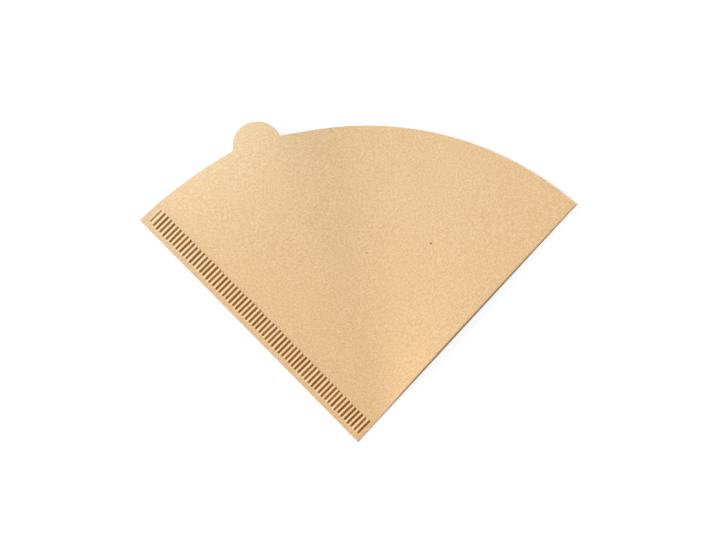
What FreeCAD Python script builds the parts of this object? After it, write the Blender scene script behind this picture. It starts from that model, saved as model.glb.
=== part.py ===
import FreeCAD, Part
import math
import os

from FreeCAD import Placement, Rotation, Vector

# A paper cone filter, folded flat: one sheet turned over at a fold, with its two edges crimped together
# in a seam. The lower ply lies on z = 0 and the upper ply domes a little above it, open along the arc.
# Lengths are in millimetres and angles in degrees.

# Outline of the folded sheet, seen from above
seam_edge_length = 124.7
fold_edge_length = 129.6
included_angle = 87.2
arc_radius = 128.0

# Round thumb tab on the upper ply, placed by its turn about the middle of the arc's circle
tab_radius = 10.0
tab_centre_inside_arc = 0.6
tab_turn_from_seam = 24.4

# Paper, and how far the upper ply domes above the lower one at the middle of the mouth
paper_thickness = 0.2
mouth_lift = 2.0

# Crimped seam: grooves and ridges that run square to the cut edge
seam_width = 10.4
groove_pitch = 1.886
groove_width = 0.86
relief_depth = 0.28
crimp_edge_margin = 2.5
crimp_length = 7.0
crimp_run_out = 0.45
first_groove_from_tip = 2.85
last_groove_to_corner = 3.0

# Strip beside the seam where the lower ply comes down to the surface
ramp_width = 3.0

# Plan directions from the tip, with the bisector of the two straight edges along +Y
seam_bearing = 90.0 + included_angle / 2.0
fold_bearing = 90.0 - included_angle / 2.0


def bearing(degrees):
    """Unit vector in plan, turned from +X."""
    return Vector(math.cos(math.radians(degrees)), math.sin(math.radians(degrees)), 0.0)


along_seam = bearing(seam_bearing)
along_fold = bearing(fold_bearing)
in_from_seam = bearing(seam_bearing - 90.0)
in_from_fold = bearing(fold_bearing + 90.0)
corner_sine = math.sin(math.radians(included_angle))

# The relief is two tangent arcs for each groove: one slope where they meet gives both radii
relief_slope = 2.0 * math.atan(2.0 * relief_depth / groove_pitch)
groove_radius = groove_width / 2.0 / math.sin(relief_slope)
groove_depth = groove_radius * (1.0 - math.cos(relief_slope))
ridge_height = relief_depth - groove_depth

# The grooves' undersides touch the surface, so the seam stands a groove's depth above it, and the
# upper ply goes on level from there to the fold
seam_top = groove_depth + 2.0 * paper_thickness
fold_radius = seam_top / 2.0
fold_inner_radius = fold_radius - paper_thickness
seam_reach = seam_width + ramp_width

# Circle of the mouth, through both corners, with its middle near the tip
seam_corner = along_seam * seam_edge_length
fold_corner = along_fold * fold_edge_length
half_chord = (fold_corner - seam_corner) * 0.5
chord_out = Vector(-half_chord.y, half_chord.x, 0.0).normalize()
centre_depth = math.sqrt(arc_radius ** 2 - half_chord.Length ** 2)
arc_centre = (seam_corner + fold_corner) * 0.5 - chord_out * centre_depth
mouth_middle = arc_centre + chord_out * arc_radius
tab_centre = arc_centre + bearing(seam_bearing - tab_turn_from_seam) * (arc_radius - tab_centre_inside_arc)

# Overlength of what is trimmed to the outline, and the reach and height of the trimming blocks
spare = 3.0 * tab_radius
tool_reach = seam_edge_length + fold_edge_length
tool_height = 4.0 * (seam_top + mouth_lift)


def plan_point(from_seam, from_fold, height=0.0):
    """Point at given distances in from the seam's cut edge and from the folded edge."""
    point = (along_seam * from_fold + along_fold * from_seam) * (1.0 / corner_sine)
    return Vector(point.x, point.y, height)


def wedge(from_seam, from_fold):
    """Tall block of all that lies further in than the two distances."""
    low = -tool_height / 2.0
    tip = plan_point(from_seam, from_fold, low)
    seam_side = along_seam * tool_reach
    fold_side = along_fold * tool_reach
    corners = [tip, tip + fold_side, tip + fold_side + seam_side, tip + seam_side, tip]
    return Part.Face(Part.makePolygon(corners)).extrude(Vector(0.0, 0.0, tool_height))


def upright_cylinder(centre, radius):
    """Tall cylinder round a point of the plan."""
    foot = Vector(centre.x, centre.y, -tool_height / 2.0)
    return Part.makeCylinder(radius, tool_height, foot)


def seam_frame():
    """Placement with local x in from the cut edge and local y along it from the tip."""
    return Placement(Vector(), Rotation(Vector(0.0, 0.0, 1.0), seam_bearing - 90.0))


def fold_frame():
    """Placement with local x along the fold from the tip and local y in from it."""
    return Placement(Vector(), Rotation(Vector(0.0, 0.0, 1.0), fold_bearing))


def groove_centres():
    """Distance of each groove from the tip, along the cut edge."""
    span = seam_edge_length - first_groove_from_tip - last_groove_to_corner
    count = int(span / groove_pitch + 0.5) + 1
    return [first_groove_from_tip + index * groove_pitch for index in range(count)]


def crimp_ends():
    """Where the first groove begins and the last one ends, along the cut edge."""
    centres = groove_centres()
    return centres[0] - groove_width / 2.0, centres[-1] + groove_width / 2.0


def relief_edge(start, end, rise, across):
    """One groove or ridge of the relief: an arc, or a straight line where the rise is nothing."""
    first = Vector(across, start, seam_top)
    last = Vector(across, end, seam_top)
    if rise == 0.0:
        return Part.LineSegment(first, last).toShape()
    top = Vector(across, (start + end) / 2.0, seam_top + rise)
    return Part.Arc(first, top, last).toShape()


def relief_section(across, relief):
    """Closed section of both plies along the seam, with the relief full at 1 and flat at 0."""
    upper = []
    for centre in groove_centres():
        groove_start = centre - groove_width / 2.0
        groove_end = centre + groove_width / 2.0
        if upper:
            upper.append(relief_edge(groove_end - groove_pitch, groove_start, ridge_height * relief, across))
        upper.append(relief_edge(groove_start, groove_end, -groove_depth * relief, across))
    drop = Vector(0.0, 0.0, -2.0 * paper_thickness)
    lower = [edge.translated(drop) for edge in reversed(upper)]
    start, end = [Vector(across, place, seam_top) for place in crimp_ends()]
    side_at_start = Part.LineSegment(start + drop, start).toShape()
    side_at_end = Part.LineSegment(end, end + drop).toShape()
    return Part.Wire(upper + [side_at_end] + lower + [side_at_start])


def crimped_band():
    """The corrugated stretch, whose grooves and ridges run out to the flat seam at both ends."""
    outer = crimp_edge_margin
    inner = crimp_edge_margin + crimp_length
    stations = [
        (outer, 0.0),
        (outer + crimp_run_out, 1.0),
        (inner - crimp_run_out, 1.0),
        (inner, 0.0),
    ]
    return Part.makeLoft([relief_section(across, relief) for across, relief in stations], True, True)


def seam():
    """Both plies pressed together along the cut edges, with the crimped band let in."""
    length = seam_edge_length + 2.0 * spare
    flat = Part.makeBox(seam_width, length, 2.0 * paper_thickness, Vector(0.0, -spare, groove_depth))
    start, end = crimp_ends()
    room_foot = Vector(crimp_edge_margin, start, -tool_height / 2.0)
    room = Part.makeBox(crimp_length, end - start, tool_height, room_foot)
    strip = flat.cut(room).fuse(crimped_band())
    strip.Placement = seam_frame()
    return strip.common(wedge(0.0, fold_radius)).common(upright_cylinder(arc_centre, arc_radius))


def lower_ply():
    """The ply that lies on the surface, with the ramp up to the seam."""
    profile = [
        Vector(seam_width, -spare, groove_depth),
        Vector(seam_reach, -spare, 0.0),
        Vector(tool_reach, -spare, 0.0),
        Vector(tool_reach, -spare, paper_thickness),
        Vector(seam_reach, -spare, paper_thickness),
        Vector(seam_width, -spare, groove_depth + paper_thickness),
    ]
    section = Part.Face(Part.makePolygon(profile + profile[:1]))
    ply = section.extrude(Vector(0.0, seam_edge_length + 2.0 * spare, 0.0))
    ply.Placement = seam_frame()
    return ply.common(wedge(0.0, fold_radius)).common(upright_cylinder(arc_centre, arc_radius))


def upper_ply():
    """The ply with the tab: ruled straight lines that rise from the seam and the fold to the mouth."""
    start = plan_point(seam_width, fold_radius, seam_top)
    seam_side = along_seam * (seam_edge_length + spare)
    fold_side = along_fold * (fold_edge_length + spare)
    seam_share = (mouth_middle.dot(in_from_fold) - fold_radius) / corner_sine / seam_side.Length
    fold_share = (mouth_middle.dot(in_from_seam) - seam_width) / corner_sine / fold_side.Length
    far_rise = Vector(0.0, 0.0, mouth_lift / (seam_share * fold_share))
    beside_seam = Part.LineSegment(start, start + seam_side).toShape()
    far_side = Part.LineSegment(start + fold_side, start + fold_side + seam_side + far_rise).toShape()
    surface = Part.makeRuledSurface(beside_seam, far_side)
    ply = surface.extrude(Vector(0.0, 0.0, -paper_thickness))
    mouth = upright_cylinder(arc_centre, arc_radius).fuse(upright_cylinder(tab_centre, tab_radius))
    return ply.common(mouth)


def fold():
    """Rounded fold that joins the plies, pressed solid beside the seam."""
    length = fold_edge_length + 2.0 * spare
    start = Vector(-spare, fold_radius, fold_radius)
    lengthwise = Vector(1.0, 0.0, 0.0)
    outer = Part.makeCylinder(fold_radius, length, start, lengthwise)
    outer.Placement = fold_frame()
    hollow = Part.makeCylinder(fold_inner_radius, length, start, lengthwise)
    hollow.Placement = fold_frame()
    tube = outer.cut(hollow.common(wedge(seam_reach, -spare)))
    bend = tube.common(wedge(0.0, -spare)).cut(wedge(-spare, fold_radius))
    return bend.common(upright_cylinder(arc_centre, arc_radius))


def folded_sheet():
    """The whole filter in one piece, centred on the surface that it lies on."""
    sheet = seam().fuse([lower_ply(), upper_ply(), fold()]).removeSplitter()
    solid = sheet.Solids[0]
    box = solid.optimalBoundingBox()
    solid.translate(Vector(-(box.XMin + box.XMax) / 2.0, -(box.YMin + box.YMax) / 2.0, -box.ZMin))
    return solid


os.makedirs("parts", exist_ok=True)
folded_sheet().exportStep("parts/filter_sheet.step")
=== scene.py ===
import math

import bpy
from bpy.props import FloatProperty, FloatVectorProperty, IntProperty, PointerProperty
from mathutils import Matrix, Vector


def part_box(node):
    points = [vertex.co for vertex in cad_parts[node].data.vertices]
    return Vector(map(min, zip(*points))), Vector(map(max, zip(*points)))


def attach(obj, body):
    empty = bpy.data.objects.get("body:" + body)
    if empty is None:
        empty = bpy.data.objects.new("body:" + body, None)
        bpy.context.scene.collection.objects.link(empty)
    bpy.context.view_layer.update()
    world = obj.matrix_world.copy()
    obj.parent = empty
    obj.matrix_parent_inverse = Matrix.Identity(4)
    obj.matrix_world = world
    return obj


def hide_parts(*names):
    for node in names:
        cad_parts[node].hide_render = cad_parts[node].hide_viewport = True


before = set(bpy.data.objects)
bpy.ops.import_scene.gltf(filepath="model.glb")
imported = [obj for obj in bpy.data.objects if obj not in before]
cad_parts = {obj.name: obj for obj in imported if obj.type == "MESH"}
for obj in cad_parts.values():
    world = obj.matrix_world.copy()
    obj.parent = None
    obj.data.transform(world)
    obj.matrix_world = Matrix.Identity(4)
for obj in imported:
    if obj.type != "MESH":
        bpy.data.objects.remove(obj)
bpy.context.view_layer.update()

bl_info = {
    "name": "Folded Paper Coffee Filter",
    "version": (1, 0, 0),
    "blender": (4, 5, 0),
    "location": "3D View > Sidebar > Coffee Filter",
    "description": "Builds a paper cone filter, folded flat, with its crimped seam and thumb tab",
    "category": "Add Mesh",
}

SHEET_NODE = "filter_sheet"
SHEET_PIECE = "filter_paper_sheet"
BODY = "root"
MM = 0.001

SHEET_LOW, SHEET_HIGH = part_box(SHEET_NODE)

# How finely the sheet is meshed: rows run square to the seam's cut edge, columns from it to the fold
ROWS_PER_GROOVE = 8
ROWS_BEFORE_CRIMP = 3
ROWS_AFTER_CRIMP = 3
FOLD_STEPS = 8
UPPER_COLUMNS = {"before_tab": 5, "tab": 14, "after_tab": 18, "near_fold": 3}
LOWER_COLUMNS = {"before_tab": 2, "tab": 2, "after_tab": 12, "near_fold": 3}
SEAM_COLUMNS = {"outer_margin": 2, "outer_end": 4, "grooves": 2, "inner_end": 4, "inner_margin": 1}
NEAR_FOLD = 1.5 * MM
GROOVE_END_SPREAD = 0.15 * MM
WELD_DISTANCE = 1e-6
SHARP_EDGE = math.radians(40.0)

# Sizes that are inputs of the sheet's node tree
TREE_INPUTS = (
    "relief",
    "crimp_run_out",
    "crest_height",
    "crest_place",
    "valley_height",
    "valley_place",
    "fold_swell",
    "fold_height",
    "fold_at_mouth",
    "fold_opening",
)

# How sharply a groove dips, and how much fainter the last one is than the others
GROOVE_SHARPNESS = 1.15
LAST_GROOVE_FADE = 0.5

# Unevenness from groove to groove: the seed, the least value and the greatest, with 1 for a whole pitch
CRIMP_UNEVENNESS = {
    "depth": (11.0, 0.82, 1.12),
    "shift": (203.0, -0.04, 0.04),
    "slant for each metre": (431.0, -8.0, 8.0),
    "outer end": (617.0, -0.2 * MM, 0.2 * MM),
    "inner end": (859.0, -0.2 * MM, 0.2 * MM),
}

# Powers of the curves by which the upper ply rises to the mouth and the fold and runs out to the tab
MOUTH_RISE_POWER = 2.6
FOLD_RISE_POWER = 1.5
SEAM_ROOT_POWER = 2.5
FOLD_ROOT_POWER = 2.0

# Share of the tab's sweep that is left out at each end, where its columns meet the arc
TAB_END = 0.001

# The fold's bend: how its swell leans to the tip, and the share of the turn from which the ply follows it
SWELL_SKEW = 0.75
SWELL_FROM = 0.7

# How far the seam stands over the surface, as a share of the relief, and the lower ply's ramps to it
SEAM_RISE_SHARE = 0.55
SEAM_RAMP = 3.0 * MM
FOLD_RAMP = 1.5 * MM

# Specks of bark in the sheet: place in plan and radius in millimetres, and strength
FLECKS = [
    (28.8, 14.6, 0.46, 0.8),
    (3.2, 11.2, 0.34, 0.45),
    (-23.9, 43.8, 0.35, 0.4),
    (-6.5, 45.8, 0.32, 0.4),
]
FLECK_FRAY = 0.8
FRAY_SCALE = 3500.0

# Faint specks anywhere: cells in a metre, and the start and span of a cell's choice and of a speck's edge
FAINT_CELLS = 220.0
FAINT_CHOICE = (0.93, 0.05)
FAINT_EDGE = (0.03, 0.05)
FAINT_FRAY = 0.6
FAINT_STRENGTH = 0.35

# The paper's mottling: each noise and its share in the tone, and the share of plain colour that evens it
MOTTLING = {
    "cloud": ({"Scale": 90.0, "Detail": 3.0}, 0.2),
    "grain": ({"Scale": 1300.0, "Detail": 2.0, "Roughness": 0.6}, 2.4),
    "fibre": ({"Scale": 2600.0, "Detail": 2.0, "Distortion": 1.5}, 1.4),
}
EVEN_SHARE = 0.35

# The paper's surface: the grain's share in its bumps, with the rest for the fibres, and its finish
GRAIN_IN_BUMPS = 0.6
BUMP_HEIGHT = 0.05 * MM
BUMP_STRENGTH = 0.2
PAPER_ROUGHNESS = 0.9
PAPER_SPECULAR = 0.25

# Colours of the crimp, a painted highlight on the ridges, painted shade over the pressed brown of the
# grooves and painted shade in their cores: the start and span of the depth where each comes in, and how
# strongly it covers
GROOVE_PRESSED_AND_SHADE_DEPTHS = (0.12, 0.4)
CORE_SHADE_DEPTHS = (0.35, 0.45)
RIDGE_HIGHLIGHT_COVER = 0.95
GROOVE_PRESSED_AND_SHADE_COVER = 0.75
CORE_SHADE_COVER = 0.8
GRAIN_IN_COVER = 0.4

# How far a groove's brown, pressed paper with painted shade on it, lies to the tip's side of its middle, in
# radians of its turn
GROOVE_SHADE_LEAD = 0.42

# The floor: its reach and drop, the light it sends back to the sheet, and how the camera sees it
FLOOR_HALF = 3.0
FLOOR_DROP = 0.05 * MM
FLOOR_REFLECTANCE = 0.13
FLOOR_SEEN_REFLECTANCE = 0.24
FLOOR_OWN_LIGHT = 0.84

# The lamps: softness in degrees and direction of the distant ones, place and colour of the near ones
KEY_SOFTNESS = 22.0
KEY_DIRECTION = (-0.93, 0.12, 0.31)
OVERHEAD_SOFTNESS = 60.0
OVERHEAD_DIRECTION = (0.0, 0.0, 1.0)
NEAR_LAMP_COLOUR = (0.3, 0.62, 1.0)
NEAR_LAMP_RADIUS = 20.0 * MM
TAB_LAMP_PLACE = (SHEET_LOW.x + 6.0 * MM, SHEET_HIGH.y + 20.0 * MM, 40.0 * MM)
SIDE_LAMP_PLACE = (0.5 * SHEET_HIGH.x, 0.5 * SHEET_HIGH.y, 62.0 * MM)

# The camera's sensor in its own millimetres, and how far it sees
SENSOR_WIDTH = 36.0
VIEW_DEPTH = 10.0


def amount(name, description, value):
    """A plain number."""
    return FloatProperty(name=name, description=description, default=value)


def length(name, description, millimetres):
    """A size in metres, shown in the scene's own units."""
    return FloatProperty(
        name=name,
        description=description,
        default=millimetres * MM,
        unit="LENGTH",
        precision=5,
    )


def angle(name, description, degrees):
    """An angle in radians, shown in degrees."""
    return FloatProperty(
        name=name,
        description=description,
        default=math.radians(degrees),
        subtype="ANGLE",
    )


def colour(name, description, value):
    """A linear colour."""
    return FloatVectorProperty(
        name=name,
        description=description,
        default=value,
        size=3,
        subtype="COLOR",
        min=0.0,
        max=1.0,
    )


class FilterSizes(bpy.types.PropertyGroup):
    """Sizes of the folded sheet."""

    seam_edge: length("Seam edge", "Length of the cut edge beside the seam", 124.7)
    fold_edge: length("Fold edge", "Length of the folded edge", 129.6)
    corner_angle: angle("Corner angle", "Angle between the two straight edges at the tip", 87.2)
    arc_radius: length("Arc radius", "Radius of the round mouth", 128.0)
    tab_radius: length("Tab radius", "Radius of the thumb tab", 10.0)
    tab_inset: length("Tab inset", "How far inside the arc the tab's middle lies", 0.6)
    tab_turn: angle("Tab turn", "Turn of the tab from the seam, about the middle of the arc's circle", 24.4)
    root_by_seam: length("Root by the seam", "Run-out of the mouth to the tab on the seam's side", 1.4)
    root_by_fold: length("Root by the fold", "Run-out of the mouth to the tab on the fold's side", 0.6)
    root_length: length("Root length", "Length of the run-out on the fold's side", 17.0)
    paper: length("Paper", "Thickness of the paper", 0.2)
    seam_width: length("Seam width", "Width of the strip where the plies are pressed together", 10.4)
    crimp_margin: length("Crimp margin", "Flat paper between the cut edge and the grooves", 2.12)
    crimp_length: length("Crimp length", "Length of each groove", 7.4)
    crimp_run_out: length("Crimp run-out", "Length over which a groove's end rises to flat paper", 0.55)
    groove_pitch: length("Groove pitch", "Distance from one groove to the next", 1.8815)
    first_groove: length("First groove", "Distance of the first groove from the tip", 2.79)
    groove_count: IntProperty(
        name="Grooves",
        description="Number of grooves in the seam",
        default=64,
        min=1,
    )
    relief: length("Relief", "Height from the bottom of a groove to the top of a ridge", 0.28)
    fold_width: length("Fold width", "How far the fold's bend reaches in from its edge at the mouth", 0.35)
    fold_swell: length("Fold swell", "How much wider the bend is halfway along", 0.62)
    fold_height: length("Fold height", "Height of the fold where it is not pressed flat", 2.2)
    fold_at_mouth: length("Fold at the mouth", "Height of the fold at its end at the mouth", 1.15)
    fold_opening: length("Fold opening", "How far from the seam's edge the fold has its full height", 50.0)
    ply_gap: length("Ply gap", "Space left between the plies in the seam", 0.012)
    crest_height: length("Crest height", "Rise of the crest above the seam, at the mouth", 1.57)
    crest_place: amount("Crest place", "Where the crest lies, from seam to fold", 0.27)
    valley_height: length("Valley height", "Rise of the valley above the seam, at the mouth", -0.05)
    valley_place: amount("Valley place", "Where the valley lies, from seam to fold", 0.5)


class PaperLook(bpy.types.PropertyGroup):
    """Colours of the unbleached paper, and of the painted highlight and shade on its crimp."""

    ground: colour("Paper", "Main colour of the paper", (0.795, 0.505, 0.253))
    pale: colour("Pale fibre", "Colour of the palest fibres", (0.883, 0.627, 0.354))
    dark: colour("Dark fibre", "Colour of the darker fibres between them", (0.695, 0.406, 0.181))
    # Painted highlight: the light that the ridges catch, put into their colour
    ridge: colour("Ridge", "Colour of the ridges between the grooves", (1.0, 0.74, 0.43))
    # Brown of the pressed paper, darkened further with painted shade of the groove
    groove: colour("Groove", "Colour of the pressed paper in a groove", (0.46, 0.185, 0.052))
    # Painted shade: the shadow along the deepest line of a groove
    core: colour("Groove's core", "Colour of the deepest line of a groove", (0.24, 0.082, 0.009))
    fleck: colour("Fleck", "Colour of the specks of bark", (0.20, 0.09, 0.03))


class StudioLook(bpy.types.PropertyGroup):
    """Light and camera."""

    key_strength: amount("Key light", "Strength of the low lamp at the left", 5.4)
    overhead_strength: amount("Overhead light", "Strength of the light from above", 0.67)
    sky_strength: amount("Sky light", "Strength of the even light from all round", 0.2)
    tab_lamp_power: amount("Lamp by the tab", "Power of the lamp near the tab", 0.125)
    side_lamp_power: amount("Side lamp", "Power of the lamp over the fold's side", 0.026)
    view_width: length("View width", "Width of the camera's view on the floor", 287.0)
    view_height: length("Camera height", "Height of the camera above the floor", 1600.0)
    view_turn: angle("View turn", "Turn of the picture about the line of sight", -0.94)
    tip_to_middle: length("Tip to middle", "Distance from the tip to the middle of the view", 69.0)


class Term:
    """A node's socket that can stand in a Python expression. Each operation adds its Math node."""

    def __init__(self, graph, socket):
        self.graph = graph
        self.socket = socket

    def __add__(self, other):
        return self.graph.math("ADD", self, other)

    __radd__ = __add__

    def __sub__(self, other):
        return self.graph.math("SUBTRACT", self, other)

    def __rsub__(self, other):
        return self.graph.math("SUBTRACT", other, self)

    def __mul__(self, other):
        return self.graph.math("MULTIPLY", self, other)

    __rmul__ = __mul__

    def __truediv__(self, other):
        return self.graph.math("DIVIDE", self, other)

    def __rtruediv__(self, other):
        return self.graph.math("DIVIDE", other, self)

    def __pow__(self, other):
        return self.graph.math("POWER", self, other)

    def __lt__(self, other):
        return self.graph.math("LESS_THAN", self, other)

    def __gt__(self, other):
        return self.graph.math("GREATER_THAN", self, other)


class Graph:
    """Adds nodes to one node tree and links them. It carries the sheet's layout where that is needed."""

    def __init__(self, tree, layout=None):
        self.tree = tree
        self.layout = layout
        self.inputs = {}

    def size(self, name):
        """One of the sheet's sizes, from the tree's own input where it has one."""
        return self.inputs.get(name, getattr(self.layout.size, name))

    def add_inputs(self, names):
        """Gives the tree a named input for each of these sizes."""
        labels = self.layout.size.bl_rna.properties
        for name in names:
            label = labels[name].name
            self.tree.interface.new_socket(name=label, in_out="INPUT", socket_type="NodeSocketFloat")
        entry = self.add("NodeGroupInput")
        self.inputs = dict(zip(names, self.outputs(entry, *range(len(names)))))

    def plug(self, socket, value):
        """Gives a socket a plain value, a link, or several links."""
        if isinstance(value, list):
            for item in value:
                self.plug(socket, item)
        elif isinstance(value, Term):
            self.tree.links.new(value.socket, socket)
        else:
            socket.default_value = value

    def add(self, kind, settings=None, inputs=None, output=0):
        """Adds a node, with its settings made before its sockets are filled, and gives one output."""
        node = self.tree.nodes.new(kind)
        for name, value in (settings or {}).items():
            setattr(node, name, value)
        for name, value in (inputs or {}).items():
            self.plug(node.inputs[name], value)
        return Term(self, node.outputs[output]) if node.outputs else None

    def outputs(self, term, *names):
        """Other outputs of the node that a term comes from."""
        return [Term(self, term.socket.node.outputs[name]) for name in names]

    def value(self, number):
        """A plain number as a term."""
        term = self.add("ShaderNodeValue")
        term.socket.default_value = number
        return term

    def math(self, operation, *values):
        """The result of a Math node."""
        return self.add("ShaderNodeMath", {"operation": operation}, dict(enumerate(values)))

    def share(self, value, start, span):
        """How far a value has come from a start over a span, held between 0 and 1."""
        settings = {"operation": "DIVIDE", "use_clamp": True}
        return self.add("ShaderNodeMath", settings, {0: value - start, 1: span})

    def ease(self, value, start, span):
        """As share, with soft ends."""
        part = self.share(value, start, span)
        return part * part * (3.0 - 2.0 * part)

    def mix(self, factor, first, second):
        """Plain mix of two numbers."""
        return first + factor * (second - first)

    def mix_colour(self, factor, first, second):
        """Plain mix of two colours."""
        return self.add("ShaderNodeMix", {"data_type": "RGBA"}, {0: factor, 6: first, 7: second}, 2)

    def split(self, vector):
        """The three parts of a vector."""
        node = self.add("ShaderNodeSeparateXYZ", inputs={0: vector})
        return self.outputs(node, 0, 1, 2)

    def join(self, x, y, z):
        """A vector from its three parts."""
        return self.add("ShaderNodeCombineXYZ", inputs={0: x, 1: y, 2: z})

    def random(self, number, seed, low, high):
        """A random number for each whole number, the same each run and in each tree."""
        settings = {"noise_dimensions": "1D"}
        noise = self.add("ShaderNodeTexWhiteNoise", settings, {"W": number + seed}, "Value")
        return noise * (high - low) + low


class Layout:
    """Where the sheet's lines run, worked out from its sizes.

    Across is the distance in from the seam's cut edge, and along is the distance from the tip beside it.
    """

    def __init__(self, size):
        self.size = size
        self.sine = math.sin(size.corner_angle)
        self.cosine = math.cos(size.corner_angle)
        corner_a = Vector((0.0, size.seam_edge))
        corner_b = Vector((size.fold_edge * self.sine, size.fold_edge * self.cosine))
        chord = corner_b - corner_a
        outward = Vector((-chord.y, chord.x)).normalized()
        depth = math.sqrt(size.arc_radius ** 2 - (chord.length / 2.0) ** 2)
        self.centre = (corner_a + corner_b) / 2.0 - outward * depth
        self.seam_rise = SEAM_RISE_SHARE * size.relief
        self.seam_top = self.seam_rise + 2.0 * size.paper + size.ply_gap
        self.pressed_width = self.seam_top / 2.0
        self.apex = Vector((size.seam_width, self.along_at(size.seam_width, self.pressed_width)))
        self.seam_angle = math.acos((size.seam_width - self.centre.x) / size.arc_radius)
        self.inner_end = self.arc_point(self.seam_angle).y
        self.tab_angle = math.pi / 2.0 - size.tab_turn
        self.place_tab()
        self.fold_angle = self.angle_at_fold()
        self.fold_end = self.arc_point(self.fold_angle)
        self.crimp_start = size.first_groove - size.groove_pitch / 2.0
        self.crimp_end = self.crimp_start + size.groove_count * size.groove_pitch
        self.crimp_rows = size.groove_count * ROWS_PER_GROOVE
        self.rows = ROWS_BEFORE_CRIMP + self.crimp_rows + ROWS_AFTER_CRIMP
        crown = self.fold_end - self.apex
        self.mouth_reach = crown.length
        self.crown_turn = math.atan2(crown.x, crown.y)
        self.seam_columns = self.plan_seam_columns()
        self.seam_column_count = sum(count for count, width in self.seam_columns)

    def along_at(self, across, from_fold):
        """Distance along the seam of a point at given distances from both straight edges."""
        return (from_fold + across * self.cosine) / self.sine

    def arc_point(self, turn):
        """Point of the mouth's arc at a turn about the arc's middle."""
        return self.centre + self.size.arc_radius * Vector((math.cos(turn), math.sin(turn)))

    def place_tab(self):
        """The tab's middle, and the turns about the arc's middle and the tab's own to where they meet."""
        arc_radius = self.size.arc_radius
        reach = arc_radius - self.size.tab_inset
        outward = Vector((math.cos(self.tab_angle), math.sin(self.tab_angle)))
        self.tab_centre = self.centre + reach * outward
        squares = reach ** 2 + arc_radius ** 2 - self.size.tab_radius ** 2
        self.root_turn = math.acos(squares / (2.0 * reach * arc_radius))
        root = self.arc_point(self.tab_angle + self.root_turn) - self.tab_centre
        self.tab_sweep = (math.atan2(root.y, root.x) - self.tab_angle) % (2.0 * math.pi)

    def angle_at_fold(self):
        """Angle at the arc's middle of the point of the arc where the fold's bend begins."""
        offset = self.centre.y * self.sine - self.centre.x * self.cosine
        lean = math.asin((self.size.fold_width - offset) / self.size.arc_radius)
        return lean + math.pi / 2.0 - self.size.corner_angle

    def plan_seam_columns(self):
        """Stretches of the seam's columns as a count and a width, close together where grooves end."""
        size = self.size
        end_width = size.crimp_run_out + 2.0 * GROOVE_END_SPREAD
        first_end = size.crimp_margin - GROOVE_END_SPREAD
        second_end = size.crimp_margin + size.crimp_length - size.crimp_run_out - GROOVE_END_SPREAD
        widths = (
            first_end,
            end_width,
            second_end - first_end - end_width,
            end_width,
            size.seam_width - second_end - end_width,
        )
        return list(zip(SEAM_COLUMNS.values(), widths))


def across_seam(graph, column):
    """Distance in from the cut edge of a column of the seam."""
    across = None
    start = 0
    for count, width in graph.layout.seam_columns:
        part = graph.share(column, float(start), float(count)) * width
        across = part if across is None else across + part
        start += count
    return across


def row_shares(graph, row):
    """How far a row has come through the stretch before, along and after the crimp."""
    layout = graph.layout
    before = graph.share(row, 0.0, float(ROWS_BEFORE_CRIMP))
    crimp = graph.share(row, float(ROWS_BEFORE_CRIMP), float(layout.crimp_rows))
    after = graph.share(row, float(ROWS_BEFORE_CRIMP + layout.crimp_rows), float(ROWS_AFTER_CRIMP))
    return before, crimp, after


def along_rows(graph, row, start, end):
    """Distance along the seam of a row that runs from a start to an end."""
    layout = graph.layout
    before, crimp, after = row_shares(graph, row)
    crimped = (layout.crimp_end - layout.crimp_start) * crimp
    return start + before * (layout.crimp_start - start) + crimped + after * (end - layout.crimp_end)


def grid(graph, columns, rows):
    """A flat grid with its column and row numbers as fields."""
    sizes = {
        "Size X": float(columns),
        "Size Y": float(rows),
        "Vertices X": columns + 1,
        "Vertices Y": rows + 1,
    }
    mesh = graph.add("GeometryNodeMeshGrid", inputs=sizes, output="Mesh")
    x, y, z = graph.split(graph.add("GeometryNodeInputPosition"))
    column = graph.math("ROUND", x + columns / 2.0)
    row = graph.math("ROUND", y + rows / 2.0)
    return mesh, column, row


def put_in_place(graph, mesh, across, along, height):
    """Puts a grid's points at their place, with the tip and the seam's direction from the frame."""
    layout = graph.layout
    turn = layout.size.corner_angle / 2.0
    tip_x = SHEET_LOW.x + layout.size.seam_edge * math.sin(turn)
    x = across * math.cos(turn) - along * math.sin(turn) + tip_x
    y = across * math.sin(turn) + along * math.cos(turn) + SHEET_LOW.y
    position = graph.join(x, y, height)
    return graph.add("GeometryNodeSetPosition", inputs={"Geometry": mesh, "Position": position})


def store_place(graph, mesh, across, along, upper):
    """Keeps a point's place in the flat layout and its ply on the mesh, for the material."""
    settings = {"data_type": "FLOAT", "domain": "POINT"}
    for name, value in (("across", across), ("along", along), ("upper", upper)):
        inputs = {"Geometry": mesh, "Name": name, "Value": value}
        mesh = graph.add("GeometryNodeStoreNamedAttribute", settings, inputs)
    return mesh


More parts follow.
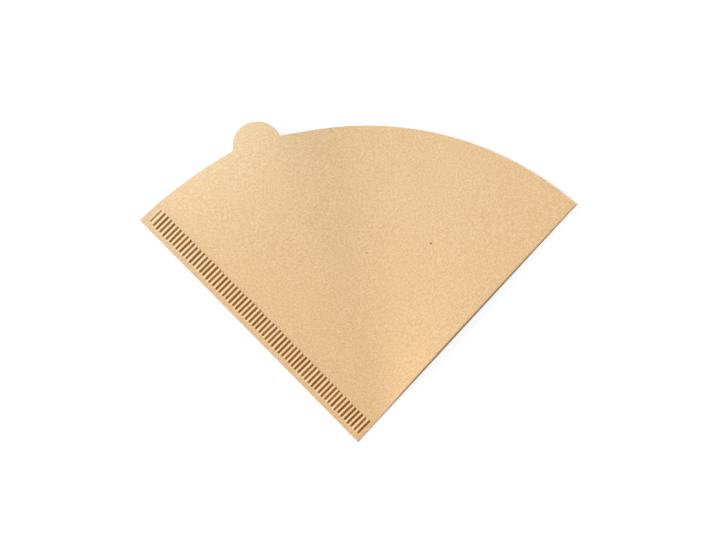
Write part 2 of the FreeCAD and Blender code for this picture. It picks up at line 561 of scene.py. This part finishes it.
def crimp_at(graph, across, along):
    """How much of the crimp there is at a point, the turn through its groove, and the groove's depth."""
    layout = graph.layout
    size = layout.size
    pitch = size.groove_pitch
    count = (along - layout.crimp_start) / pitch
    number = graph.math("FLOOR", count)
    depth, shift, slant, outer_end, inner_end = [
        graph.random(number, *draw) for draw in CRIMP_UNEVENNESS.values()
    ]
    lean = (across - (size.crimp_margin + size.crimp_length / 2.0)) * slant
    turn = (count - number + shift + lean) * (2.0 * math.pi)
    run_out = graph.size("crimp_run_out")
    outer = graph.ease(across, outer_end + size.crimp_margin, run_out)
    inner_start = inner_end + (size.crimp_margin + size.crimp_length) - run_out
    inner = 1.0 - graph.ease(across, inner_start, run_out)
    start = graph.ease(along, layout.crimp_start - pitch / 4.0, pitch / 2.0)
    end = 1.0 - graph.ease(along, layout.crimp_end - pitch / 4.0, pitch / 2.0)
    last = graph.ease(along, layout.crimp_end - 2.0 * pitch, 1.5 * pitch)
    return outer * inner * start * end * (1.0 - LAST_GROOVE_FADE * last), turn, depth


def hollow_at(graph, turn):
    """Depth of one groove by the turn through it, from 0 at the ridges to 1 in the middle."""
    return (0.5 - 0.5 * graph.math("COSINE", turn)) ** GROOVE_SHARPNESS


def relief_at(graph, across, along):
    """Height of the crimped paper over its flat place."""
    window, turn, depth = crimp_at(graph, across, along)
    return window * (0.5 - hollow_at(graph, turn) * depth) * graph.size("relief")


def pocket_share(graph, row):
    """How far a row lies from the pocket's corner to the mouth."""
    layout = graph.layout
    start = graph.value(layout.apex.y)
    end = graph.value(layout.inner_end)
    return (along_rows(graph, row, start, end) - layout.apex.y) / (layout.inner_end - layout.apex.y)


def mouth_point(graph, column, columns, upper):
    """Point of the mouth where a column of the open ply ends."""
    layout = graph.layout
    size = layout.size
    first = layout.tab_angle + layout.root_turn
    last = layout.tab_angle - layout.root_turn
    start = float(layout.seam_column_count)
    before = graph.share(column, start, float(columns["before_tab"]))
    tab = graph.share(column, start + columns["before_tab"], float(columns["tab"]))
    start += columns["before_tab"] + columns["tab"]
    after = graph.share(column, start, float(columns["after_tab"]))
    near = graph.share(column, start + columns["after_tab"], float(columns["near_fold"]))
    near_turn = layout.fold_angle + NEAR_FOLD / size.arc_radius
    turn = (
        layout.seam_angle
        + before * (first - layout.seam_angle)
        + tab * (last - first)
        + after * (near_turn - last)
        + near * (layout.fold_angle - near_turn)
    )
    radius = graph.value(size.arc_radius)
    if upper:
        past_tab = graph.share(last - turn, 0.0, size.root_length / size.arc_radius)
        on_seam_side = (tab < 0.5) * before ** SEAM_ROOT_POWER * size.root_by_seam
        on_fold_side = (tab > 0.5) * (1.0 - past_tab) ** FOLD_ROOT_POWER * size.root_by_fold
        radius = radius + on_seam_side + on_fold_side
    across = graph.math("COSINE", turn) * radius + layout.centre.x
    along = graph.math("SINE", turn) * radius + layout.centre.y
    if not upper:
        return across, along
    sweep = layout.tab_angle + layout.tab_sweep - tab * (2.0 * layout.tab_sweep)
    inside = (tab > TAB_END) * (tab < 1.0 - TAB_END)
    tab_across = graph.math("COSINE", sweep) * size.tab_radius + layout.tab_centre.x
    tab_along = graph.math("SINE", sweep) * size.tab_radius + layout.tab_centre.y
    return graph.mix(inside, across, tab_across), graph.mix(inside, along, tab_along)


def crest_and_valley(graph, turn):
    """Rise of the upper ply at the mouth, by the share of the turn from seam to fold."""
    crest_place, crest_height = graph.size("crest_place"), graph.size("crest_height")
    valley_place, valley_height = graph.size("valley_place"), graph.size("valley_height")
    climb = graph.share(turn, 0.0, crest_place)
    crest = climb * (2.0 - climb) * crest_height
    fall = graph.ease(turn, crest_place, valley_place - crest_place)
    last = graph.ease(turn, valley_place, 1.0 - valley_place)
    return crest + fall * (valley_height - crest_height) - last * valley_height


def fold_height_at(graph, across):
    """Height of the fold, pressed in the seam and standing free further on."""
    layout = graph.layout
    size = layout.size
    full_from = graph.size("fold_opening")
    full_height = graph.size("fold_height")
    opening = graph.ease(across, size.seam_width, full_from - size.seam_width)
    closing = graph.ease(across, full_from, layout.fold_end.x - full_from)
    raised = opening * (full_height - layout.seam_top)
    return raised - closing * (full_height - graph.size("fold_at_mouth")) + layout.seam_top


def fold_swell_at(graph, part):
    """Extra width of the fold's bend along the pocket, most before the middle."""
    skewed = part ** SWELL_SKEW
    return skewed * (1.0 - skewed) * (4.0 * graph.size("fold_swell"))


def upper_height(graph, turn, distance, across, in_seam):
    """Height of the upper ply's middle: level in the seam, raised to the mouth and to the fold."""
    layout = graph.layout
    rise = crest_and_valley(graph, turn) * distance ** MOUTH_RISE_POWER
    valley = graph.size("valley_place")
    beside_fold = graph.share(turn, valley, 1.0 - valley) ** FOLD_RISE_POWER
    rise = rise + beside_fold * (fold_height_at(graph, across) - layout.seam_top)
    return graph.mix(in_seam, rise, 0.0) + (layout.seam_top - layout.size.paper / 2.0)


def lower_height(graph, across, along):
    """Height of the lower ply's middle: on the surface, and raised in the seam."""
    layout = graph.layout
    size = layout.size
    from_fold = along * layout.sine - across * layout.cosine
    seam = 1.0 - graph.ease(across, size.seam_width, SEAM_RAMP)
    clear_of_fold = graph.ease(from_fold, layout.pressed_width, FOLD_RAMP)
    return seam * clear_of_fold * layout.seam_rise + size.paper / 2.0


def ply(graph, columns, upper):
    """One ply from the cut edge to the fold, with its half of the crimped seam."""
    layout = graph.layout
    size = layout.size
    mesh, column, row = grid(graph, layout.seam_column_count + sum(columns.values()), layout.rows)
    seam_across = across_seam(graph, column)
    seam_start = (seam_across * layout.cosine + layout.pressed_width) / layout.sine
    reach = seam_across - layout.centre.x
    seam_end = graph.math("SQRT", size.arc_radius ** 2 - reach * reach) + layout.centre.y
    seam_along = along_rows(graph, row, seam_start, seam_end)

    mouth_across, mouth_along = mouth_point(graph, column, columns, upper)
    out = mouth_across - layout.apex.x
    up = mouth_along - layout.apex.y
    part = pocket_share(graph, row)
    turn = graph.share(graph.math("ARCTAN2", out, up), 0.0, layout.crown_turn)
    by_fold = graph.share(turn, SWELL_FROM, 1.0 - SWELL_FROM)
    inward = fold_swell_at(graph, part) * by_fold / layout.sine
    open_across = layout.apex.x + part * out
    open_along = layout.apex.y + part * up + inward

    in_seam = column < layout.seam_column_count + 0.5
    across = graph.mix(in_seam, open_across, seam_across)
    along = graph.mix(in_seam, open_along, seam_along)
    mesh = store_place(graph, mesh, across, along, graph.value(float(upper)))
    if upper:
        distance = part * graph.math("SQRT", out * out + up * up) / layout.mouth_reach
        height = upper_height(graph, turn, distance, across, in_seam)
    else:
        height = lower_height(graph, across, along)
        mesh = graph.add("GeometryNodeFlipFaces", inputs={"Mesh": mesh})
    return put_in_place(graph, mesh, across, along, height + relief_at(graph, across, along) * in_seam)


def fold_strip(graph):
    """The bend between the plies, from the tip to the mouth."""
    layout = graph.layout
    size = layout.size
    mesh, column, step = grid(graph, layout.seam_column_count + layout.rows, FOLD_STEPS)
    seam_across = across_seam(graph, column)
    row = column - layout.seam_column_count
    part = pocket_share(graph, row)
    open_across = layout.apex.x + part * (layout.fold_end.x - layout.apex.x)
    across = graph.mix(row > 0.5, seam_across, open_across)
    width = layout.pressed_width + part * (size.fold_width - layout.pressed_width)
    width = width + fold_swell_at(graph, part)
    width = graph.mix(row > 0.5, graph.value(layout.pressed_width), width)
    turn = (step / FOLD_STEPS - 0.5) * math.pi
    height = fold_height_at(graph, across)
    from_fold = width - graph.math("COSINE", turn) * (width - size.paper / 2.0)
    along = (from_fold + across * layout.cosine) / layout.sine
    up = height / 2.0 + graph.math("SINE", turn) * (height - size.paper) / 2.0
    mesh = store_place(graph, mesh, across, along, graph.value(1.0))
    return put_in_place(graph, mesh, across, along, up)


def sheet_tree(layout, material):
    """Node tree of the whole sheet's middle face."""
    tree = bpy.data.node_groups.new("Folded Sheet", "GeometryNodeTree")
    tree.interface.new_socket(name="Geometry", in_out="OUTPUT", socket_type="NodeSocketGeometry")
    graph = Graph(tree, layout)
    graph.add_inputs(TREE_INPUTS)
    parts = [ply(graph, UPPER_COLUMNS, True), ply(graph, LOWER_COLUMNS, False), fold_strip(graph)]
    sheet = graph.add("GeometryNodeJoinGeometry", inputs={"Geometry": parts})
    sheet = graph.add("GeometryNodeMergeByDistance", inputs={"Geometry": sheet, "Distance": WELD_DISTANCE})
    sheet = graph.add("GeometryNodeRealizeInstances", inputs={"Geometry": sheet})
    sheet = graph.add("GeometryNodeSetMaterial", inputs={"Geometry": sheet, "Material": material})
    graph.add("NodeGroupOutput", inputs={"Geometry": sheet})
    return tree


def build_sheet(layout, material):
    """The filter as one closed mesh."""
    holder = bpy.data.objects.new("holder", bpy.data.meshes.new("holder"))
    bpy.context.scene.collection.objects.link(holder)
    nodes = holder.modifiers.new("Sheet", "NODES")
    nodes.node_group = sheet_tree(layout, material)
    sockets = [item for item in nodes.node_group.interface.items_tree if item.in_out == "INPUT"]
    for name, socket in zip(TREE_INPUTS, sockets):
        nodes[socket.identifier] = getattr(layout.size, name)
    solid = holder.modifiers.new("Paper", "SOLIDIFY")
    solid.thickness = layout.size.paper
    solid.offset = 0.0
    evaluated = holder.evaluated_get(bpy.context.evaluated_depsgraph_get())
    mesh = bpy.data.meshes.new_from_object(evaluated)
    mesh.name = SHEET_PIECE
    bpy.data.objects.remove(holder)
    sheet = bpy.data.objects.new(SHEET_PIECE, mesh)
    bpy.context.scene.collection.objects.link(sheet)
    mesh.shade_smooth()
    mesh.set_sharp_from_angle(angle=SHARP_EDGE)
    return sheet


def fresh_graph(owner, layout=None):
    """The emptied node tree of a material or a world."""
    owner.use_nodes = True
    owner.node_tree.nodes.clear()
    return Graph(owner.node_tree, layout)


def frayed(distance, fray, depth):
    """A distance made longer and shorter by a noise, which frays a speck's edge."""
    return distance * (1.0 - depth / 2.0 + fray * depth)


def flecks(graph, place):
    """Specks of bark that fade from half their radius outwards, and a few faint ones anywhere."""
    fray = graph.add("ShaderNodeTexNoise", {}, {"Vector": place, "Scale": FRAY_SCALE, "Detail": 1.0})
    x, y, z = graph.split(place)
    found = None
    for fleck_x, fleck_y, radius, strength in FLECKS:
        across = x - fleck_x * MM
        along = y - fleck_y * MM
        distance = frayed(graph.math("SQRT", across * across + along * along), fray, FLECK_FRAY)
        spot = (1.0 - graph.share(distance, 0.5 * radius * MM, radius * MM)) * strength
        found = spot if found is None else graph.math("MAXIMUM", found, spot)
    cells = {"Vector": place, "Scale": FAINT_CELLS}
    scatter = graph.add("ShaderNodeTexVoronoi", {}, cells, output="Distance")
    (tint,) = graph.outputs(scatter, "Color")
    chosen = graph.share(graph.split(tint)[0], *FAINT_CHOICE)
    spot = 1.0 - graph.share(frayed(scatter, fray, FAINT_FRAY), *FAINT_EDGE)
    return graph.math("MAXIMUM", found, spot * chosen * FAINT_STRENGTH)


def crimp_marks_with_painted_light(graph):
    """Where the crimp's painted highlight on the ridges, its pressed brown with painted shade in the
    grooves, and the painted shade of their cores lie, each from 0 to 1.
    """
    across, along, upper = [
        graph.add("ShaderNodeAttribute", {"attribute_name": name}, output="Fac")
        for name in ("across", "along", "upper")
    ]
    window, turn, depth = crimp_at(graph, across, along)
    turn = turn + (1.0 - upper) * math.pi
    # Pressed brown with painted shade in the grooves, led to the tip's side, and painted shade in their
    # cores
    groove = graph.ease(hollow_at(graph, turn + GROOVE_SHADE_LEAD) * window, *GROOVE_PRESSED_AND_SHADE_DEPTHS)
    core = graph.ease(hollow_at(graph, turn) * window, *CORE_SHADE_DEPTHS)
    return window * (1.0 - groove), groove * depth, core * depth


def paper_material(look, layout):
    """Unbleached filter paper, with painted highlight and shade on its crimp."""
    material = bpy.data.materials.new("unbleached_filter_paper")
    graph = fresh_graph(material, layout)
    place = graph.add("ShaderNodeTexCoord", output="Object")
    noises = {}
    tone = 0.5
    for name, (inputs, part) in MOTTLING.items():
        noises[name] = graph.add("ShaderNodeTexNoise", {}, {"Vector": place, **inputs})
        tone = tone + (noises[name] - 0.5) * part
    tone = graph.share(tone, 0.0, 1.0)
    base = graph.mix_colour(tone, (*look.dark, 1.0), (*look.pale, 1.0))
    base = graph.mix_colour(EVEN_SHARE, base, (*look.ground, 1.0))
    base = graph.mix_colour(flecks(graph, place), base, (*look.fleck, 1.0))
    grain = noises["grain"]
    ridge, groove, core = crimp_marks_with_painted_light(graph)
    # Painted highlight on the ridges, the grooves' pressed brown with painted shade, and painted shade in
    # their cores
    base = graph.mix_colour(ridge * RIDGE_HIGHLIGHT_COVER, base, (*look.ridge, 1.0))
    base = graph.mix_colour(groove * (GROOVE_PRESSED_AND_SHADE_COVER + grain * GRAIN_IN_COVER), base, (*look.groove, 1.0))
    base = graph.mix_colour(core * (CORE_SHADE_COVER + grain * GRAIN_IN_COVER), base, (*look.core, 1.0))
    height = grain * GRAIN_IN_BUMPS + noises["fibre"] * (1.0 - GRAIN_IN_BUMPS)
    bumps = {"Height": height, "Strength": BUMP_STRENGTH, "Distance": BUMP_HEIGHT}
    normal = graph.add("ShaderNodeBump", {}, bumps)
    paper = {
        "Base Color": base,
        "Roughness": PAPER_ROUGHNESS,
        "Specular IOR Level": PAPER_SPECULAR,
        "Normal": normal,
    }
    shader = graph.add("ShaderNodeBsdfPrincipled", {}, paper)
    graph.add("ShaderNodeOutputMaterial", {}, {"Surface": shader})
    return material


def grey(level):
    """An even grey."""
    return (level, level, level, 1.0)


def floor_material():
    """White that the camera sees as background and that keeps the object's shadow."""
    material = bpy.data.materials.new("white_floor")
    graph = fresh_graph(material)
    plain = graph.add("ShaderNodeBsdfDiffuse", {}, {"Color": grey(FLOOR_REFLECTANCE)})
    dim = graph.add("ShaderNodeBsdfDiffuse", {}, {"Color": grey(FLOOR_SEEN_REFLECTANCE)})
    glow = graph.add("ShaderNodeEmission", {}, {"Color": grey(1.0), "Strength": FLOOR_OWN_LIGHT})
    seen = graph.add("ShaderNodeAddShader", {}, {0: dim, 1: glow})
    ray = graph.add("ShaderNodeLightPath")
    camera, glossy, through = graph.outputs(ray, "Is Camera Ray", "Is Glossy Ray", "Is Transmission Ray")
    direct = graph.math("MAXIMUM", camera, graph.math("MAXIMUM", glossy, through))
    mixed = graph.add("ShaderNodeMixShader", {}, {0: direct, 1: plain, 2: seen})
    graph.add("ShaderNodeOutputMaterial", {}, {"Surface": mixed})
    return material


def build_floor():
    """Large white floor, a hair below the sheet so that their faces do not meet."""
    level = SHEET_LOW.z - FLOOR_DROP
    sides = ((-1.0, -1.0), (1.0, -1.0), (1.0, 1.0), (-1.0, 1.0))
    corners = [(x * FLOOR_HALF, y * FLOOR_HALF, level) for x, y in sides]
    mesh = bpy.data.meshes.new("floor")
    mesh.from_pydata(corners, [], [(0, 1, 2, 3)])
    floor = bpy.data.objects.new("floor", mesh)
    bpy.context.scene.collection.objects.link(floor)
    mesh.materials.append(floor_material())


def build_world(strength):
    """Even light from all round, which the camera sees as white."""
    world = bpy.data.worlds.new("studio")
    bpy.context.scene.world = world
    graph = fresh_graph(world)
    ray = graph.add("ShaderNodeLightPath")
    camera, glossy = graph.outputs(ray, "Is Camera Ray", "Is Glossy Ray")
    seen = graph.math("MAXIMUM", camera, glossy)
    level = graph.mix(seen, graph.value(strength), 1.0)
    sky = graph.add("ShaderNodeBackground", {}, {"Color": grey(1.0), "Strength": level})
    graph.add("ShaderNodeOutputWorld", {}, {"Surface": sky})


def build_sun(name, strength, softness, direction):
    """Distant lamp that shines from a direction."""
    data = bpy.data.lights.new(name, "SUN")
    data.energy = strength
    data.angle = math.radians(softness)
    lamp = bpy.data.objects.new(name, data)
    bpy.context.scene.collection.objects.link(lamp)
    lamp.rotation_euler = Vector(direction).to_track_quat("Z", "Y").to_euler()


def build_near_lamp(name, power, place):
    """Cool lamp close to the sheet, whose light falls off over it."""
    data = bpy.data.lights.new(name, "POINT")
    data.energy = power
    data.color = NEAR_LAMP_COLOUR
    data.shadow_soft_size = NEAR_LAMP_RADIUS
    lamp = bpy.data.objects.new(name, data)
    bpy.context.scene.collection.objects.link(lamp)
    lamp.location = place
    lamp.visible_camera = False


def build_camera(look, size):
    """Camera straight above, with the picture's middle up the bisector from the tip."""
    turn = size.corner_angle / 2.0
    tip = Vector((SHEET_LOW.x + size.seam_edge * math.sin(turn), SHEET_LOW.y))
    upward = Vector((-math.sin(look.view_turn), math.cos(look.view_turn)))
    middle = tip + upward * look.tip_to_middle
    data = bpy.data.cameras.new("camera")
    data.sensor_width = SENSOR_WIDTH
    data.lens = data.sensor_width * look.view_height / look.view_width
    data.clip_end = VIEW_DEPTH
    camera = bpy.data.objects.new("camera", data)
    bpy.context.scene.collection.objects.link(camera)
    camera.location = (middle.x, middle.y, look.view_height)
    camera.rotation_euler = (0.0, 0.0, look.view_turn)
    bpy.context.scene.camera = camera


class FILTER_OT_sheet(bpy.types.Operator):
    """Build the folded paper sheet."""

    bl_idname = "coffee_filter.sheet"
    bl_label = "Folded Sheet"

    def execute(self, context):
        layout = Layout(context.scene.filter_sizes)
        sheet = build_sheet(layout, paper_material(context.scene.filter_paper, layout))
        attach(sheet, BODY)
        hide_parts(SHEET_NODE)
        return {"FINISHED"}


class FILTER_OT_studio(bpy.types.Operator):
    """Build the floor, the light and the camera."""

    bl_idname = "coffee_filter.studio"
    bl_label = "Studio"

    def execute(self, context):
        look = context.scene.filter_studio
        build_floor()
        build_world(look.sky_strength)
        build_sun("key", look.key_strength, KEY_SOFTNESS, KEY_DIRECTION)
        build_sun("overhead", look.overhead_strength, OVERHEAD_SOFTNESS, OVERHEAD_DIRECTION)
        build_near_lamp("lamp_by_tab", look.tab_lamp_power, TAB_LAMP_PLACE)
        build_near_lamp("lamp_over_fold_side", look.side_lamp_power, SIDE_LAMP_PLACE)
        build_camera(look, context.scene.filter_sizes)
        context.scene.view_settings.view_transform = "Standard"
        return {"FINISHED"}


class FILTER_PT_panel(bpy.types.Panel):
    """Sidebar panel with the sizes, colours and builders."""

    bl_idname = "FILTER_PT_panel"
    bl_label = "Coffee Filter"
    bl_space_type = "VIEW_3D"
    bl_region_type = "UI"
    bl_category = "Coffee Filter"

    def draw(self, context):
        layout = self.layout
        scene = context.scene
        for group in (scene.filter_sizes, scene.filter_paper, scene.filter_studio):
            box = layout.box()
            for name in group.bl_rna.properties.keys():
                if name not in ("rna_type", "name"):
                    box.prop(group, name)
        layout.operator(FILTER_OT_sheet.bl_idname)
        layout.operator(FILTER_OT_studio.bl_idname)


CLASSES = (FilterSizes, PaperLook, StudioLook, FILTER_OT_sheet, FILTER_OT_studio, FILTER_PT_panel)


def register():
    """Registers the classes and gives each scene its settings."""
    for item in CLASSES:
        bpy.utils.register_class(item)
    bpy.types.Scene.filter_sizes = PointerProperty(type=FilterSizes)
    bpy.types.Scene.filter_paper = PointerProperty(type=PaperLook)
    bpy.types.Scene.filter_studio = PointerProperty(type=StudioLook)


def unregister():
    """Takes the settings and the classes away again."""
    del bpy.types.Scene.filter_sizes
    del bpy.types.Scene.filter_paper
    del bpy.types.Scene.filter_studio
    for item in reversed(CLASSES):
        bpy.utils.unregister_class(item)


def main():
    """Builds the filter and its studio."""
    register()
    bpy.ops.coffee_filter.sheet()
    bpy.ops.coffee_filter.studio()


if __name__ == "__main__":
    main()
